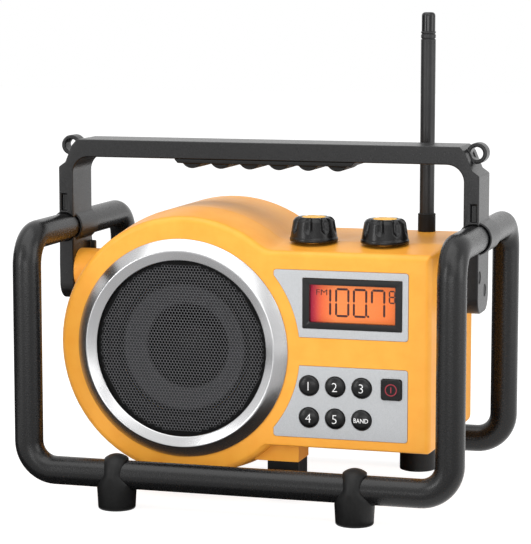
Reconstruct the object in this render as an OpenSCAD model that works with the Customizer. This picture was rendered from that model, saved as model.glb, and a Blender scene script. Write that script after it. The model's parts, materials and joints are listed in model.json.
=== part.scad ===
// Jobsite radio in a tubular cage.
// X runs to the right, Y to the rear and Z up. The origin is on the ground under the middle of the cage.

/* [Cage] */
// Distance from the body's right side to the side tubes' centres
cage_gap = 17; // [15:0.5:24]
// Distance between the front and rear tube centres
cage_d = 194; // [184:1:220]
// Outer diameter of the cage tube
tube_d = 19.8; // [18:0.2:21]
// Wall of the cage tube
tube_wall = 1.6; // [1.2:0.2:2.4]
// Centreline radius of the cage bends
bend_r = 20; // [16:1:28]
// Height of the bottom rails' centres
rail_low = 24; // [22:1:28]
// Height of the side rails' centres
rail_high = 187; // [182:1:192]
// Place of each cage foot to the side of the middle
cage_foot_x = 85; // [70:1:100]
// Diameter of a cage foot where it is widest
cage_foot_d = 28.4; // [27:0.2:32]

/* [Body] */
// Radius of the speaker drum
drum_r = 95; // [92:0.5:97]
// Place of the drum's axis to the side of the middle
drum_x = -46; // [-50:1:-42]
// Height of the drum's axis
drum_z = 110; // [108:0.5:113]
// Width of the square part of the body beside the drum
block_w = 84; // [82:0.5:88]
// Top of the body beside the drum
block_top = 183.5; // [181:0.5:187]
// Underside of the body beside the drum
block_bottom = 43.7; // [41:0.1:46]
// Place of the front face behind the middle of the cage
body_front = -67; // [-70:0.5:-65]
// Depth of the body, front face to rear face
body_d = 127; // [122:1:132]
// Depth of the front shell
front_d = 37; // [35:0.5:40]
// Wall of both shells
wall = 3; // [2:0.25:3.5]
// How far the front face draws in from the widest outline
face_inset = 8; // [6:0.5:10]
// Radius of the hollow where the drum meets the top
join_r = 12; // [8:1:20]
// Diameter of the side bosses
boss_d = 31; // [28:0.5:34]
// Height of the side bosses' axis
boss_z = 155; // [152:0.5:158]

/* [Handle] */
// Depth of the handle, front to rear
handle_d = 38; // [34:1:42]
// Place of the handle's middle behind the middle of the cage
handle_y = -8; // [-10:0.5:-6]
// Top of the handle bar
bar_top = 250.5; // [245:0.5:260]
// Thickness of the handle bar
bar_t = 12.5; // [11:0.5:15]
// Thickness of each handle arm
arm_t = 10.8; // [9.5:0.1:12]
// Length of the grip pad
grip_l = 132; // [120:1:150]
// Number of finger ribs under the grip
grip_ribs = 6; // [4:1:7]
// Outer diameter of the eyelets
eyelet_d = 14.5; // [13.5:0.5:17]
// Diameter of the hole in the eyelets
eyelet_bore = 8.8; // [7:0.2:9.6]

/* [Speaker] */
// Outer radius of the chrome bezel
bezel_r = 76.7; // [75:0.1:79]
// Radius of the perforated grille
grille_r = 61.5; // [60:0.1:63]
// Height of the bezel's crest over the face
bezel_h = 7; // [5:0.5:9]
// Outer radius of the moving cone
cone_r = 46.7; // [44:0.1:48]
// Depth of the cone
cone_depth = 20; // [17:0.5:22]
// Radius of the voice coil's former
coil_r = 12; // [10:0.5:13]
// Radius of the ring magnet
magnet_r = 32; // [29:0.5:35]

/* [Display and buttons] */
// Distance from both silver panels to the body's right side
panel_edge = 19; // [16:0.5:22]
// Width of both silver panels
panel_w = 94.5; // [93:0.5:96]
// Width of the display bezel
display_w = 69.7; // [66:0.1:72]
// Height of the display bezel
display_h = 34.7; // [32:0.1:36]
// Diameter of a round button
button_d = 14; // [12.5:0.1:14.6]
// Distance between buttons in a row
button_pitch = 18.6; // [18.2:0.1:19]
// Distance between the two rows of buttons
row_pitch = 22.2; // [20:0.1:23]
// Width of the square power button
power_w = 14.2; // [12.5:0.1:14.6]
// Travel of a button
button_travel = 1; // [0.6:0.1:1.2]

/* [Knobs] */
// Radius of a knob at its skirt
knob_r = 16.8; // [15.5:0.1:18]
// Height of a knob
knob_h = 16.8; // [15:0.1:20]
// Distance between the two knobs
knob_pitch = 50.6; // [46:0.1:54]
// Diameter of the control shafts
shaft_d = 6; // [5.5:0.1:6.4]

/* [Antenna] */
// Diameter of the antenna mast
mast_d = 10.6; // [9:0.1:11]
// Height of the antenna's top over the ground
antenna_top = 341; // [300:1:360]
// Diameter of the antenna's base sleeve
sleeve_d = 12.8; // [12.2:0.1:14]
// Height of the base sleeve
sleeve_h = 13; // [11:0.5:18]

/* [Battery] */
// Diameter of a cell
cell_d = 26; // [25:0.1:26.4]
// Length of a cell
cell_l = 49; // [47:0.5:50]
// Width of the battery door
door_w = 108; // [107:0.5:112]
// Height of the battery door
door_h = 71.5; // [70.5:0.5:74]

/* [Hidden] */

YELLOW = "#f5ab3d";
BLACK = "#2b2b2b";
SILVER = "#b8babc";
CHROME = "#d5d8db";
STEEL = "#9a9da0";
BOARD = "#1f6b3a";

// Clearances: a running fit, a piece beside another piece, and an overlap that joins two forms
run_gap = 0.05;
gap = 0.3;
bite = 0.5;
$fn = 64;

// Places that follow from the driving sizes
block_right = drum_x + drum_r + block_w;
panel_right = block_right - panel_edge;
side_x = block_right + cage_gap;
end_y = cage_d / 2;
tube_r = tube_d / 2;
body_rear = body_front + body_d;
seam_y = body_front + front_d;
front_in = body_front + wall;
rear_in = body_rear - wall;
arm_in = side_x - tube_r + 2.7;
arm_out = arm_in + arm_t;
boss_r = boss_d / 2;

// ---- Helpers ----

// A flat outline drawn in X and Z, filled from y0 to y1
module slab(y0, y1) {
    translate([0, y1, 0]) rotate([90, 0, 0]) linear_extrude(y1 - y0) children();
}

// A profile of radius and Y, turned about an axis along Y through x, z
module turned(x, z) {
    translate([x, 0, z]) rotate([-90, 0, 0]) rotate_extrude($fn = 96) children();
}

// A round bar along Y
module rod_y(x, z, r, y0, y1) {
    translate([x, y0, z]) rotate([-90, 0, 0]) cylinder(r = r, h = y1 - y0);
}

// A round bar along X
module rod_x(y, z, r, x0, x1) {
    translate([x0, y, z]) rotate([0, 90, 0]) cylinder(r = r, h = x1 - x0);
}

// A round bar along Z
module rod_z(x, y, r, z0, z1) {
    translate([x, y, z0]) cylinder(r = r, h = z1 - z0);
}

// A rectangular block between two corners
module block(low, high) {
    translate(low) cube(high - low);
}

// A flat rectangle with round corners, by its lowest and highest corner
module rounded(low, high, r) {
    for (x = [low[0] + r, high[0] - r], z = [low[1] + r, high[1] - r])
        translate([x, z]) circle(r = r);
    translate([low[0] + r, low[1]]) square([high[0] - low[0] - 2 * r, high[1] - low[1]]);
    translate([low[0], low[1] + r]) square([high[0] - low[0], high[1] - low[1] - 2 * r]);
}

// The same piece on the left and on the right
module both_sides() {
    children();
    mirror([1, 0, 0]) children();
}

// ---- Outline of the body ----

function arc_points(x, z, r, from, to, n) =
    [for (k = [0:n]) let (t = from + (to - from) * k / n) [x + r * cos(t), z + r * sin(t)]];

corner_r = 6;
join_z = block_top + join_r;
join_x = drum_x + sqrt(pow(drum_r + join_r, 2) - pow(join_z - drum_z, 2));
join_angle = atan2(join_z - drum_z, join_x - drum_x);

// The body's outline drawn in by inset, with its underside raised by lift
function body_outline(inset, lift) =
    let (
        r = drum_r - inset,
        z0 = block_bottom + lift,
        x1 = block_right - inset,
        z1 = block_top - inset,
        c = max(0.8, corner_r - inset),
        low_angle = 360 - asin((drum_z - z0) / r)
    )
    concat(
        arc_points(x1 - c, z0 + c, c, -90, 0, 5),
        arc_points(x1 - c, z1 - c, c, 0, 90, 5),
        arc_points(join_x, join_z, join_r + inset, 270, 180 + join_angle, 7),
        [for (k = [1:60]) let (t = join_angle + (low_angle - join_angle) * k / 60)
            [drum_x + r * cos(t), drum_z + r * sin(t)]]
    );

// A solid skinned through outlines, each given as [y, inset, lift], from front to rear.
// Its ends are fans about the drum's axis, which the whole outline faces.
module skin(layers) {
    rings = [for (l = layers) body_outline(l[1], l[2])];
    n = len(rings[0]);
    last = (len(layers) - 1) * n;
    middle = last + n;
    points = concat(
        [for (k = [0:len(layers) - 1]) each [for (p = rings[k]) [p[0], layers[k][0], p[1]]]],
        [for (k = [0, len(layers) - 1]) [drum_x, layers[k][0], drum_z]]
    );
    sides = [for (k = [0:len(layers) - 2], j = [0:n - 1])
        let (a = k * n + j, d = k * n + (j + 1) % n, b = a + n, c = d + n) each [[a, d, c], [a, c, b]]];
    front = [for (j = [0:n - 1]) [middle, (j + 1) % n, j]];
    rear = [for (j = [0:n - 1]) [middle + 1, last + j, last + (j + 1) % n]];
    polyhedron(points, concat(sides, front, rear));
}

// ---- Cage ----

collar_l = 34;
collar_y = -4;
collar_r = tube_r + 1.8;
plug_l = 60;
cage_foot_r = cage_foot_d / 2;
cage_foot_top = tube_r + 4.6;

// The front half of the cage as a round bar of radius r, its rails ending at open_y
module cage_run(r, open_y) {
    both_sides() {
        rod_y(side_x, rail_high, r, bend_r - end_y, open_y);
        translate([side_x, bend_r - end_y, rail_high - bend_r]) rotate([90, 0, -90])
            rotate_extrude(angle = 90) translate([bend_r, 0]) circle(r = r);
        rod_z(side_x, -end_y, r, rail_low + bend_r, rail_high - bend_r);
        translate([side_x - bend_r, -end_y, rail_low + bend_r]) rotate([-90, 0, 0])
            rotate_extrude(angle = 90) translate([bend_r, 0]) circle(r = r);
    }
    rod_x(-end_y, rail_low, r, bend_r - side_x, side_x - bend_r);
}

module cage_tube(open_y) {
    color(BLACK) difference() {
        cage_run(tube_r, open_y);
        cage_run(tube_r - tube_wall, open_y + 1);
    }
}

module cage_front() cage_tube(collar_y);

module cage_rear() mirror([0, 1, 0]) cage_tube(-collar_y);

module cage_plugs() {
    plug_r = tube_r - tube_wall - run_gap;
    color(BLACK) both_sides()
        rod_y(side_x, rail_high, plug_r, collar_y - plug_l / 2, collar_y + plug_l / 2);
}

// A rubber foot whose dome closes over the bottom rail
module cage_foot() {
    waist = rail_low - 2;
    dome = cage_foot_top + rail_low - waist;
    difference() {
        rotate_extrude() polygon(concat(
            [[0, 0], [cage_foot_r - 2, 0], [cage_foot_r - 1.2, 0.8]],
            [for (t = [0:10:90]) [cage_foot_r * cos(t), waist + dome * sin(t)]]
        ));
        rod_x(0, rail_low, tube_r + run_gap, -cage_foot_d, cage_foot_d);
    }
}

module cage_feet() {
    color(BLACK) for (x = [-cage_foot_x, cage_foot_x], y = [-end_y, end_y])
        translate([x, y, 0]) cage_foot();
}

// ---- Places of what the shells hold ----

speaker_x = drum_x - 1;
speaker_z = drum_z - 0.7;
opening_r = grille_r - 2.5;
flange_r = opening_r + 9.2;
flange_t = 2.5;
speaker_screw_r = flange_r + 4.3;
speaker_screws = [for (a = [45:90:315])
    [speaker_x + speaker_screw_r * cos(a), speaker_z + speaker_screw_r * sin(a)]];

// Screws that hold the rear shell to the front shell
case_r = drum_r - 16;
case_places = [
    [drum_x + case_r * cos(110), drum_z + case_r * sin(110)],
    [drum_x + case_r * cos(250), drum_z + case_r * sin(250)],
    [block_right - 14, block_top - 16.5],
    [block_right - 14, block_bottom + 12.3]
];
case_head_y = seam_y + 12;

// The right side of the drum at a height
function drum_side(z) = drum_x + sqrt(pow(drum_r, 2) - pow(drum_z - z, 2));

// The front leg stands half under the drum, and the rear pad stands wholly under it
leg_z = block_bottom - 11.9;
leg_w = 32;
leg_tuck = 4.4;
leg_foot_in = 9;
leg_x = [drum_side(leg_z) - leg_tuck, drum_side(leg_z) - leg_tuck + leg_w];
leg_y = [body_front + 7, body_front + 33];
foot_z = 14;
pad_z = foot_z + 11;
pad_x = [drum_side(pad_z) - 4, drum_side(pad_z) + 17];
pad_y = [body_rear - 40, body_rear - 14];
side_foot = [block_right - 32, body_rear - 35];

// Knobs and their controls
knob_y = seam_y - 6;
knob_x = [panel_right - 23.9 - knob_pitch, panel_right - 23.9];
knob_z = block_top + 0.5;
seat_r = 5.7;
seat_top = block_top + 0.1;
pot_top = block_top - wall - 2.3;
bushing_r = shaft_d / 2 + 0.5;

// Display
display_x = panel_right - 39.05;
display_z = 144.55;
window_w = display_w - 9.6;
window_h = display_h - 9;
bezel_lip = 2.5;

// Silver panels
panel_recess = 0.8;
panel_t = 1.2;
panel_y = body_front + panel_recess - panel_t;
panel_left = panel_right - panel_w;
drum_border = 10.7;
panel_arc = drum_r - drum_border;
display_panel_z = [120.9, 167.2];
button_panel_z = [51.2, 101.1];

// Buttons: the five presets and the band button, in two rows of three
first_button = 69.2;
power_pitch = 20.8;
button_x = panel_right - first_button;
button_drop = 13.6;
button_z = button_panel_z[1] - button_drop;
button_places = [for (row = [0, 1], k = [0:2]) [button_x + k * button_pitch, button_z - row * row_pitch]];
power_place = [button_x + 2 * button_pitch + power_pitch, button_z];
all_buttons = concat(button_places, [power_place]);
flange_grow = 1.5;
board_front = front_in + 9.5;
board_t = 1.6;
board_edge = 9.3;
switch_w = 6;
board_posts = [
    [button_x + button_pitch / 2, button_z - row_pitch / 2],
    [button_x + 1.5 * button_pitch, button_z - row_pitch / 2],
    [power_place[0], button_z - row_pitch]
];

// Antenna
antenna_x = block_right - 32.5;
antenna_y = body_rear - 10;
antenna_neck_r = 4;

// Battery
battery_x = drum_x + 2;
battery_z = drum_z - 1;
box_wall = 2;
box_in = [2 * cell_l + 8, cell_d + 1.5, 2 * cell_d + 3];
box_low = [battery_x - box_in[0] / 2, rear_in - box_in[1], battery_z - box_in[2] / 2];
box_high = [battery_x + box_in[0] / 2, rear_in, battery_z + box_in[2] / 2];
door_x = [battery_x - door_w / 2, battery_x + door_w / 2];
door_z = [box_low[2] - 3, box_low[2] - 3 + door_h];
door_gap = 0.4;
door_t = 2.6;
hinge_y = body_rear + 2.7;
hinge_z = door_z[0] - 1.5;
hinge_r = 2.4;
pin_r = 1.2;
knuckle_w = 10;
knuckle_x = [door_x[0] + 18, door_x[1] - 18 - knuckle_w];
latch_x = battery_x;
latch_z = door_z[1] - 5.5;
latch_r = 3;

// DC inlet
inlet_x = block_right - 29;
inlet_z = block_bottom + 28.3;
inlet_r = 4;
inlet_bore = 2.9;
inlet_pin = 1;
flap_r = 8;
flap_z = inlet_z + 10;
flap_y = body_rear + 2.2;
flap_barrel = 1.6;
flap_pin = 0.9;

// Main board and ferrite rod
main_y = 0;
main_low = [32, 62];
main_high = [block_right - 9, 150];
post_in = 4;
main_posts = [
    for (x = [main_low[0] + post_in, main_high[0] - post_in])
        for (z = [main_low[1] + post_in, main_high[1] - post_in])
            [x, z]
];
rod_r = 5;
rod_y_place = body_rear - 30;
rod_z_place = block_top - 17.5;
rod_span = [34, block_right - 21];
coil_span = [62, 86];
clip_x = [40, block_right - 29];
clip_w = 4;

// Screws in the handle arms
boss_y = -12;
handle_screw_places = [[boss_y + 9.5, boss_z - 5.5], [boss_y - 9.5, boss_z + 5.5]];
handle_screw_r = 2;
handle_screw_l = 14;

// ---- Shells ----

edge_in = face_inset - 4.5;
edge_d = 5;
rear_edge = 4;

module front_outer() {
    skin(concat(
        [for (t = [0:22.5:90]) [body_front + edge_d * (1 - cos(t)),
            edge_in + (face_inset - edge_in) * (1 - sin(t)), 1.5 * (1 - sin(t))]],
        [[seam_y, 0, 0]]
    ));
}

module button_hole(place, grow) {
    translate(place) circle(r = button_d / 2 + grow);
}

module power_outline(grow) {
    half = power_w / 2 + grow;
    rounded(power_place - [half, half], power_place + [half, half], 2);
}

module button_holes(grow) {
    for (place = button_places) button_hole(place, grow);
    power_outline(grow);
}

module display_outline(grow) {
    half = [display_w / 2 + grow, display_h / 2 + grow];
    translate([display_x, display_z]) rounded(-half, half, 0.8);
}

// A silver panel's outline: its left edge follows the drum
module panel_outline(z, grow) {
    difference() {
        rounded([panel_left - grow, z[0] - grow], [panel_right + grow, z[1] + grow], 2);
        translate([drum_x, drum_z]) circle(r = panel_arc - grow, $fn = 128);
    }
}

module front_shell() {
    color(YELLOW) difference() {
        union() {
            difference() {
                union() {
                    front_outer();
                    block([leg_x[0], leg_y[0], leg_z], [leg_x[1], leg_y[1], block_bottom + bite]);
                }
                skin([[front_in, edge_in + wall + 0.4, wall], [seam_y + 1, wall, wall]]);
            }
            for (p = speaker_screws) rod_y(p[0], p[1], 4, front_in - bite, front_in + flange_t);
            for (p = case_places) rod_y(p[0], p[1], 4.2, front_in - bite, seam_y);
            for (p = board_posts) rod_y(p[0], p[1], 2.5, front_in - bite, board_front);
            for (x = knob_x) rod_z(x, knob_y, seat_r, pot_top, seat_top);
        }
        rod_y(speaker_x, speaker_z, opening_r, body_front - 1, front_in + 1);
        slab(body_front - 1, body_front + panel_recess) {
            panel_outline(display_panel_z, 0.15);
            panel_outline(button_panel_z, 0.15);
        }
        slab(body_front - 1, front_in + 1) {
            display_outline(-bezel_lip);
            button_holes(gap);
        }
        for (x = knob_x) rod_z(x, knob_y, bushing_r + 0.15, pot_top - 1, seat_top + 1);
        for (p = case_places) rod_y(p[0], p[1], 1.55, seam_y - 18, seam_y + 1);
        for (p = speaker_screws) rod_y(p[0], p[1], 1.55, front_in - 1.8, front_in + flange_t + 1);
    }
}

// The rear shell's outside, its rear edge rounded
module rear_outer() {
    skin(concat(
        [[seam_y, 0, 0]],
        [for (t = [0:22.5:90]) let (drawn_in = rear_edge * (1 - cos(t)))
            [body_rear - rear_edge * (1 - sin(t)), drawn_in, drawn_in]]
    ));
}

// Two ears that carry a pin, beside a barrel that spans x0 to x1
module hinge_ears(x0, x1, y, z, r, hole_r, w) {
    for (x = [x0 - gap - w, x1 + gap]) difference() {
        union() {
            rod_x(y, z, r, x, x + w);
            block([x, body_rear - bite, z - r + 0.4], [x + w, y, z]);
        }
        rod_x(y, z, hole_r, x - 1, x + w + 1);
    }
}

module rear_shell() {
    color(YELLOW) {
        difference() {
            union() {
                difference() {
                    union() {
                        rear_outer();
                        block([pad_x[0], pad_y[0], pad_z], [pad_x[1], pad_y[1], block_bottom]);
                    }
                    slab(seam_y - 1, rear_in) polygon(body_outline(wall, wall));
                }
                rod_x(boss_y, boss_z, boss_r, -arm_in, drum_x - 70);
                rod_x(boss_y, boss_z, boss_r, block_right - wall - 2, arm_in);
                for (p = case_places) rod_y(p[0], p[1], 5, seam_y, rear_in + bite);
                for (p = main_posts) rod_y(p[0], p[1], 3, main_y + board_t, rear_in + bite);
                for (x = clip_x) block([x, rod_y_place - 8, rod_z_place - 7],
                    [x + clip_w, rod_y_place + 8, block_top - wall + bite]);
            }
            for (p = case_places) {
                rod_y(p[0], p[1], 1.7, seam_y - 1, body_rear);
                rod_y(p[0], p[1], 3.4, case_head_y, body_rear + 1);
            }
            slab(rear_in - 1, body_rear + 1)
                rounded(
                    [door_x[0] - door_gap, door_z[0] - door_gap],
                    [door_x[1] + door_gap, door_z[1] + door_gap],
                    3
                );
            rod_x(rod_y_place, rod_z_place, rod_r + run_gap, clip_x[0] - 1, clip_x[1] + clip_w + 1);
            rod_z(antenna_x, antenna_y, antenna_neck_r + 0.15, block_top - wall - 1, block_top + 1);
            rod_y(inlet_x, inlet_z, inlet_r + gap, rear_in - 1, body_rear + 1);
            both_sides() for (p = handle_screw_places)
                rod_x(p[0], p[1], handle_screw_r + run_gap, arm_in - handle_screw_l - 1, arm_in + 1);
        }
        for (x = knuckle_x)
            hinge_ears(x, x + knuckle_w, hinge_y, hinge_z, hinge_r, pin_r + run_gap, 3);
        hinge_ears(inlet_x - 3, inlet_x + 3, flap_y, flap_z, flap_barrel, flap_pin + run_gap, 3);
    }
}

module body_feet() {
    color(BLACK) {
        block([leg_x[0] + leg_foot_in, leg_y[0] + 1, foot_z], [leg_x[1] - 0.5, leg_y[1] - 1, leg_z]);
        block([drum_side(pad_z) + 0.6, pad_y[0] + 1, foot_z], [pad_x[1] - 1, pad_y[1] - 1, pad_z]);
        rod_z(side_foot[0], side_foot[1], 13, foot_z, block_bottom);
    }
}

// ---- Handle ----

handle_front = handle_y - handle_d / 2;
handle_rear = handle_y + handle_d / 2;
arm_low = boss_z - 20.5;
arm_round = 12;
eyelet_x = arm_out - 4.6;
eyelet_z = bar_top - 5.2;
eyelet_y = [-14, -2];

// The right half of the handle as seen from the front
module handle_half_outline() {
    bar_low = bar_top - bar_t;
    polygon([
        [0, bar_top], [arm_out - 14, bar_top], [arm_out - 9.9, bar_top - 4.5],
        [arm_out - 4.9, bar_top - 16.5], [arm_out, bar_top - 20],
        [arm_out, arm_low], [arm_in, arm_low], [arm_in, bar_low], [0, bar_low]
    ]);
    difference() {
        translate([arm_in - arm_round, bar_low - arm_round]) square(arm_round + 0.01);
        translate([arm_in - arm_round, bar_low - arm_round]) circle(r = arm_round);
    }
}

// The handle as seen from the side, with the arms' lower ends rounded
module handle_side_outline() {
    rounded([handle_front, arm_low], [handle_rear, bar_top + 40], arm_round);
}

module handle() {
    color(BLACK) difference() {
        union() {
            intersection() {
                slab(handle_front, handle_rear) {
                    handle_half_outline();
                    mirror([1, 0]) handle_half_outline();
                }
                translate([-2 * side_x, 0, 0]) rotate([90, 0, 90])
                    linear_extrude(4 * side_x) handle_side_outline();
            }
            both_sides() {
                rod_y(side_x, rail_high, collar_r, collar_y - collar_l / 2, collar_y + collar_l / 2);
                rod_y(eyelet_x, eyelet_z, eyelet_d / 2, eyelet_y[0], eyelet_y[1]);
                block(
                    [arm_in - 4, handle_rear - 5, boss_z + 6],
                    [arm_in + bite, handle_rear - 1, boss_z + 19]
                );
            }
        }
        both_sides() {
            rod_y(side_x, rail_high, tube_r + run_gap, handle_front - collar_l, handle_rear + collar_l);
            rod_y(eyelet_x, eyelet_z, eyelet_bore / 2, handle_front - 1, handle_rear + 1);
            block([arm_in + 5, handle_front - 1, rail_high + tube_r + 2],
                [arm_in + 9, handle_front + 3, rail_high + tube_r + 14]);
            for (p = handle_screw_places) {
                rod_x(p[0], p[1], handle_screw_r + 0.2, arm_in - 1, arm_out + 1);
                rod_x(p[0], p[1], 4.2, arm_out - 3, arm_out + 1);
            }
        }
    }
}

module handle_grip() {
    pad_t = 3;
    rib_w = 14;
    rib_h = 3.6;
    rib_r = (pow(rib_w / 2, 2) + pow(rib_h, 2)) / (2 * rib_h);
    pitch = grip_l / (grip_ribs + 0.2);
    pad_top = bar_top - bar_t;
    pad_low = pad_top - pad_t;
    color(BLACK) {
        slab(handle_front, handle_rear) polygon([
            [-grip_l / 2, pad_top], [grip_l / 2, pad_top],
            [grip_l / 2 - 2.5, pad_low], [2.5 - grip_l / 2, pad_low]
        ]);
        for (k = [0:grip_ribs - 1]) slab(handle_front + 2, handle_rear - 2) intersection() {
            translate([(k - (grip_ribs - 1) / 2) * pitch, pad_low - rib_h + rib_r]) circle(r = rib_r);
            translate([(k - (grip_ribs - 1) / 2) * pitch - rib_w, pad_low - rib_h - 1])
                square([2 * rib_w, rib_h + 1 + bite]);
        }
    }
}

module handle_screws() {
    color(STEEL) both_sides() for (p = handle_screw_places) {
        rod_x(p[0], p[1], handle_screw_r, arm_in - handle_screw_l, arm_out - 2.9);
        rod_x(p[0], p[1], 4, arm_out - 3, arm_out - 0.6);
    }
}

module case_screws() {
    color(STEEL) {
        for (p = case_places) {
            rod_y(p[0], p[1], 1.5, seam_y - 16, case_head_y);
            rod_y(p[0], p[1], 3.1, case_head_y, case_head_y + 2.4);
        }
        for (p = speaker_screws) {
            rod_y(p[0], p[1], 1.5, front_in - 1.5, front_in + flange_t);
            rod_y(p[0], p[1], 5, front_in + flange_t, front_in + flange_t + 1.2);
        }
    }
}

// ---- Speaker ----

// How far the spider and the basket's shelf under it reach past the coil
spider_reach = 26;
surround_in = cone_r + 0.6;
surround_roll = 3.9;
surround_mid = surround_in + surround_roll;
land_in = surround_mid + surround_roll;
ledge_y = front_in + 1.5;
cone_edge = front_in + 0.8;
neck_y = cone_edge + cone_depth;
neck_r = coil_r + 0.25;
plate_y = neck_y + 8.2;
plate_t = 4;
magnet_t = 12;
back_t = 5;
shelf_y = plate_y - 3;

module speaker_bezel() {
    crest_r = bezel_r - 7.2;
    inner_r = grille_r + 0.3;
    color(CHROME) turned(speaker_x, speaker_z) polygon([
        [bezel_r, body_front], [bezel_r, body_front - 0.6], [crest_r + 1.2, body_front - bezel_h + 0.5],
        [crest_r, body_front - bezel_h], [crest_r - 1, body_front - bezel_h + 0.1],
        [inner_r, body_front - 1.6], [inner_r, body_front]
    ]);
}

module speaker_grille() {
    color("#1b1b1b") turned(speaker_x, speaker_z) polygon([
        [0, body_front - 1.4], [grille_r - 4, body_front - 1.4], [grille_r, body_front - 1.2],
        [grille_r, body_front], [grille_r - 6, body_front],
        [grille_r - 6, body_front - 0.4], [0, body_front - 0.4]
    ]);
}

module speaker_basket() {
    wall_r = neck_r + spider_reach + gap;
    color(STEEL) difference() {
        turned(speaker_x, speaker_z) polygon([
            [flange_r, front_in], [flange_r, front_in + flange_t], [land_in + 2.5, front_in + flange_t],
            [wall_r + 2.7, shelf_y - 2], [wall_r + 2.7, plate_y], [coil_r + 8, plate_y],
            [coil_r + 8, plate_y - 1.4], [wall_r - 5, plate_y - 1.4], [wall_r - 5, shelf_y],
            [wall_r, shelf_y], [wall_r, shelf_y - 2.4], [land_in + 0.9, ledge_y],
            [opening_r + 0.9, ledge_y], [opening_r + 0.9, front_in]
        ]);
        for (a = [45:90:315]) translate([speaker_x, 0, speaker_z]) rotate([0, a, 0])
            block([-20, front_in + 6, 30], [20, shelf_y - 4, flange_r + 5]);
    }
}

module speaker_magnet() {
    color("#3a3a3c") turned(speaker_x, speaker_z)
        translate([coil_r + 5, plate_y + plate_t]) square([magnet_r - coil_r - 5, magnet_t]);
}

module speaker_yoke() {
    color(STEEL) turned(speaker_x, speaker_z) {
        translate([coil_r + 1.2, plate_y]) square([magnet_r - coil_r - 4.2, plate_t]);
        translate([0, plate_y]) square([coil_r - 1.4, plate_t + magnet_t + bite]);
        translate([0, plate_y + plate_t + magnet_t]) square([magnet_r - 2, back_t]);
    }
}

module speaker_cone() {
    color("#303234") turned(speaker_x, speaker_z) polygon([
        [cone_r, cone_edge], [cone_r, cone_edge + 0.8], [cone_r - 1.2, cone_edge + 1],
        [neck_r + 0.5, neck_y + 1.2], [neck_r, neck_y + 1.2], [neck_r, neck_y], [cone_r - 1.9, cone_edge]
    ]);
}

module cone_surround() {
    color("#1d1d1d") turned(speaker_x, speaker_z) {
        polygon(concat(
            arc_points(surround_mid, ledge_y, surround_roll, 180, 360, 16),
            arc_points(surround_mid, ledge_y, surround_roll - 0.8, 360, 180, 16)
        ));
        translate([land_in - 0.8, ledge_y - 1.2]) square([opening_r + 0.6 - land_in + 0.8, 1.2]);
    }
}

module cone_spider() {
    r0 = coil_r + 0.55;
    r1 = neck_r + spider_reach;
    wave = function (r) shelf_y - 0.5 + 0.7 * sin((r - r0) / (r1 - 4 - r0) * 5 * 360);
    steps = [for (k = [0:60]) r0 + (r1 - 4 - r0) * k / 60];
    color("#b08a4a") turned(speaker_x, speaker_z) {
        polygon(concat(
            [for (r = steps) [r, wave(r) - 0.3]],
            [for (k = [60:-1:0]) [steps[k], wave(steps[k]) + 0.3]]
        ));
        translate([r1 - 4.1, shelf_y - 0.8]) square([4.1, 0.8]);
    }
}

module dust_cap() {
    cap_r = coil_r + 3.3;
    rise = 5;
    ball = (pow(cap_r, 2) + pow(rise, 2)) / (2 * rise);
    rim = asin(cap_r / ball);
    back = neck_y - (cap_r - neck_r) * cone_depth / (cone_r - 1.9 - neck_r) - 0.5;
    mid = back + ball * cos(rim);
    color("#232425") turned(speaker_x, speaker_z) polygon(concat(
        [for (k = [0:12]) [ball * sin(rim * k / 12), mid - ball * cos(rim * k / 12)]],
        [for (k = [12:-1:0]) [(ball - 0.8) * sin(rim * k / 12), mid - (ball - 0.8) * cos(rim * k / 12)]]
    ));
}

module voice_coil() {
    color("#b5652a") turned(speaker_x, speaker_z) {
        translate([coil_r - 0.3, neck_y]) square([0.5, 13]);
        translate([coil_r + 0.1, plate_y - 1.5]) square([0.6, 6]);
    }
}

// ---- Display and panels ----

module display_panel() {
    color(SILVER) slab(panel_y, panel_y + panel_t) difference() {
        panel_outline(display_panel_z, 0);
        display_outline(0.15);
    }
}

module button_panel() {
    color(SILVER) slab(panel_y, panel_y + panel_t) difference() {
        panel_outline(button_panel_z, 0);
        button_holes(gap);
    }
}

module window_outline(grow) {
    half = [window_w / 2 + grow, window_h / 2 + grow];
    translate([display_x, display_z]) rounded(-half, half, 0.6);
}

module display_bezel() {
    seat = body_front + panel_recess;
    color("#101010") {
        slab(panel_y - 0.3, seat) difference() {
            display_outline(0);
            window_outline(0);
        }
        slab(seat - 0.01, front_in + 0.6) difference() {
            display_outline(-bezel_lip - 0.15);
            window_outline(0);
        }
    }
}

module display_window() {
    color("#c8d4dc", 0.4) slab(panel_y + 0.2, panel_y + 2) window_outline(-run_gap);
}

module lcd_module() {
    color("#f0843c") slab(front_in + 0.6, front_in + 4.6) display_outline(-1.8);
}

// ---- Buttons ----

button_crest = panel_y - 2.3;
button_flange = front_in + gap;
flange_thick = 1.2;
stem_r = 1.5;
stem_end = board_front - 4.1;
switch_top = board_front - 4.3;

module stem(place) {
    rod_y(place[0], place[1], stem_r, button_flange + flange_thick - bite, stem_end);
}

module round_button(k) {
    place = button_places[k];
    r = button_d / 2;
    color("#262626") {
        turned(place[0], place[1]) polygon([
            [0, button_crest], [r * 0.43, button_crest + 0.2], [r * 0.74, button_crest + 0.7],
            [r * 0.94, button_crest + 1.4], [r, button_crest + 2.1], [r, button_flange],
            [r + flange_grow, button_flange], [r + flange_grow, button_flange + flange_thick],
            [0, button_flange + flange_thick]
        ]);
        stem(place);
    }
}

module preset_button_1() round_button(0);
module preset_button_2() round_button(1);
module preset_button_3() round_button(2);
module preset_button_4() round_button(3);
module preset_button_5() round_button(4);
module band_button() round_button(5);

module power_button() {
    color("#262626") {
        slab(button_crest + 0.6, button_flange + bite) power_outline(0);
        slab(button_flange, button_flange + flange_thick) power_outline(flange_grow);
        stem(power_place);
    }
}

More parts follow.
